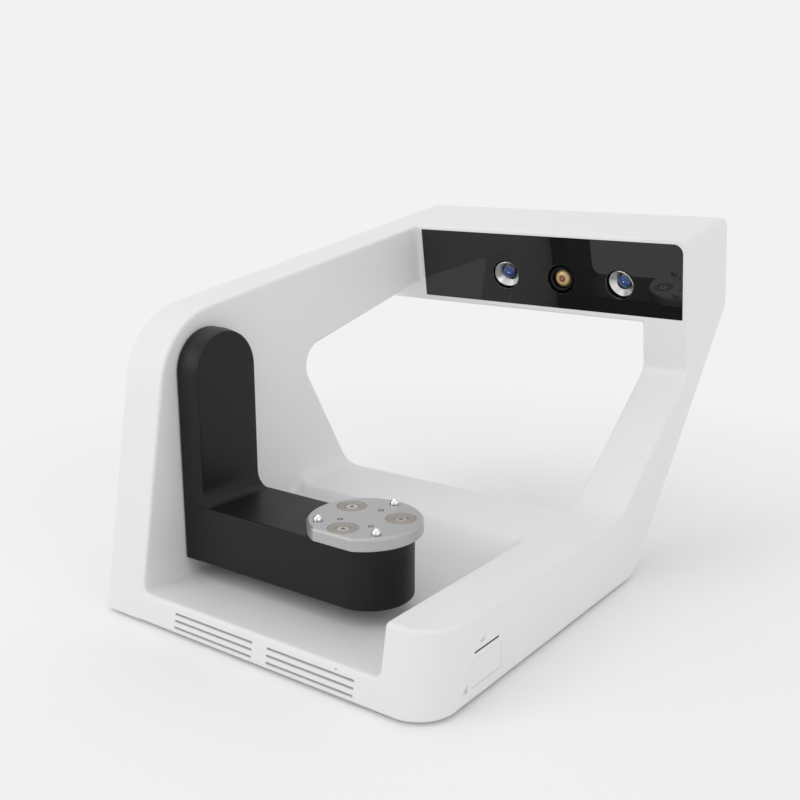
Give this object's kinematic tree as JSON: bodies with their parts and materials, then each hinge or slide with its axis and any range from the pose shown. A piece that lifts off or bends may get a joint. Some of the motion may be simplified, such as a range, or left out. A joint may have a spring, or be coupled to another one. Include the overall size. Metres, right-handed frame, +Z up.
{
  "type": "desktop 3d scanner",
  "caption": "Open white desktop 3D scanner with an inclined column, a long optics head over a tray, and a black swing arm that carries a metal turntable.",
  "frame": {"origin": "on the table under the middle of the bounding box", "axes": "+X to the right as seen from the front, +Y to the rear, +Z up; the open front with the air slots faces -Y"},
  "size_m": [0.2804, 0.4226, 0.2565],
  "materials": {
    "white_shell": "satin",
    "steel_screw": "satin",
    "dark_screw": "satin",
    "dark_steel": "powder coat",
    "foot_rubber": "matte",
    "window_black": "gloss",
    "zinc_steel": "satin",
    "dark_housing": "satin",
    "silver_ring": "satin",
    "lens_glass": "gloss",
    "amber_glass": "gloss",
    "black_plastic": "satin",
    "cast_aluminium": "as cast",
    "bearing_steel": "polished",
    "motor_grey": "satin",
    "belt_rubber": "matte",
    "machined_aluminium": "machined",
    "arm_black": "satin",
    "disc_aluminium": "anodised",
    "magnet_metal": "satin",
    "ball_chrome": "polished",
    "board_green": "satin",
    "standoff_brass": "machined",
    "loom_grey": "matte",
    "connector_plate": "satin",
    "socket_metal": "satin"
  },
  "bodies": {
    "housing": {"main_housing": "white_shell", "left_side_cover": "white_shell", "side_cover_screws": "steel_screw", "head_rear_cover": "white_shell", "rear_cover_screws": "steel_screw", "base_plate": "dark_steel", "base_screws": "steel_screw", "rubber_feet": "foot_rubber", "camera_window": "window_black", "optics_bracket": "zinc_steel", "optics_screws": "steel_screw", "camera_left_body": "dark_housing", "camera_right_body": "dark_housing", "camera_left_ring": "silver_ring", "camera_right_ring": "silver_ring", "camera_left_glass": "lens_glass", "camera_right_glass": "lens_glass", "projector_body": "dark_housing", "projector_barrel": "black_plastic", "projector_glass": "amber_glass", "bearing_housing": "cast_aluminium", "tilt_bearings": "bearing_steel", "motor_bracket": "zinc_steel", "tilt_motor": "motor_grey", "bracket_screws": "steel_screw", "tilt_belt": "belt_rubber", "main_board": "board_green", "board_standoffs": "standoff_brass", "board_screws": "steel_screw", "wiring_loom": "loom_grey", "rear_connector_plate": "connector_plate", "power_inlet": "black_plastic", "data_socket": "socket_metal", "rocker_frame": "black_plastic", "fan_frame": "black_plastic", "button_switch": "board_green", "status_strip": "window_black"},
    "arm": {"swing_arm": "arm_black", "arm_bottom_cover": "arm_black", "arm_cover_screws": "dark_screw", "tilt_shaft": "machined_aluminium", "tilt_pulley": "machined_aluminium", "shaft_screws": "dark_screw", "turntable_motor": "motor_grey", "turntable_bearings": "bearing_steel", "turntable_belt": "belt_rubber"},
    "turntable": {"turntable_spindle": "machined_aluminium", "turntable_pulley": "machined_aluminium", "turntable_disc": "disc_aluminium", "disc_magnets": "magnet_metal", "magnet_screws": "steel_screw", "ball_studs": "ball_chrome", "disc_screws": "dark_screw"},
    "tilt_drive": {"tilt_pinion": "machined_aluminium"},
    "turn_drive": {"turntable_pinion": "machined_aluminium"},
    "button": {"power_button": "white_shell"},
    "rocker_key": {"rocker": "black_plastic"},
    "fan": {"fan_rotor": "black_plastic"}
  },
  "joints": [
    {"name": "arm_tilt", "type": "hinge", "parent": "housing", "child": "arm", "pos_m": [-0.10533, -0.13933, 0.1644], "axis": [1, 0, 0], "range_deg": [-80, 30]},
    {"name": "turntable_spin", "type": "hinge", "parent": "arm", "child": "turntable", "pos_m": [0.03157, -0.13933, 0.0744], "axis": [0, 0, 1], "continuous": true},
    {"name": "tilt_pinion_spin", "type": "hinge", "parent": "housing", "child": "tilt_drive", "pos_m": [-0.13593, -0.09133, 0.097], "axis": [1, 0, 0], "range_deg": [-260, 100]},
    {"name": "turn_pinion_spin", "type": "hinge", "parent": "arm", "child": "turn_drive", "pos_m": [-0.03043, -0.13933, 0.047], "axis": [0, 0, 1], "continuous": true},
    {"name": "power_press", "type": "slide", "parent": "housing", "child": "button", "axis": [-0.9997, 0.0251, 0], "range_m": [0, 0.001], "stiffness_N_per_m": 400, "springref_m": -0.001},
    {"name": "rocker_flip", "type": "hinge", "parent": "housing", "child": "rocker_key", "pos_m": [-0.01513, 0.02843, 0.02458], "axis": [1, 0, 0], "range_deg": [-8, 8]},
    {"name": "fan_spin", "type": "hinge", "parent": "housing", "child": "fan", "pos_m": [0.04487, 0.02492, 0.03064], "axis": [0, -0.8652, -0.5015], "continuous": true}
  ],
  "couplings": [
    {"joint": "tilt_pinion_spin", "follows": "arm_tilt", "ratio": 3.125},
    {"joint": "turn_pinion_spin", "follows": "turntable_spin", "ratio": 2.2857}
  ]
}
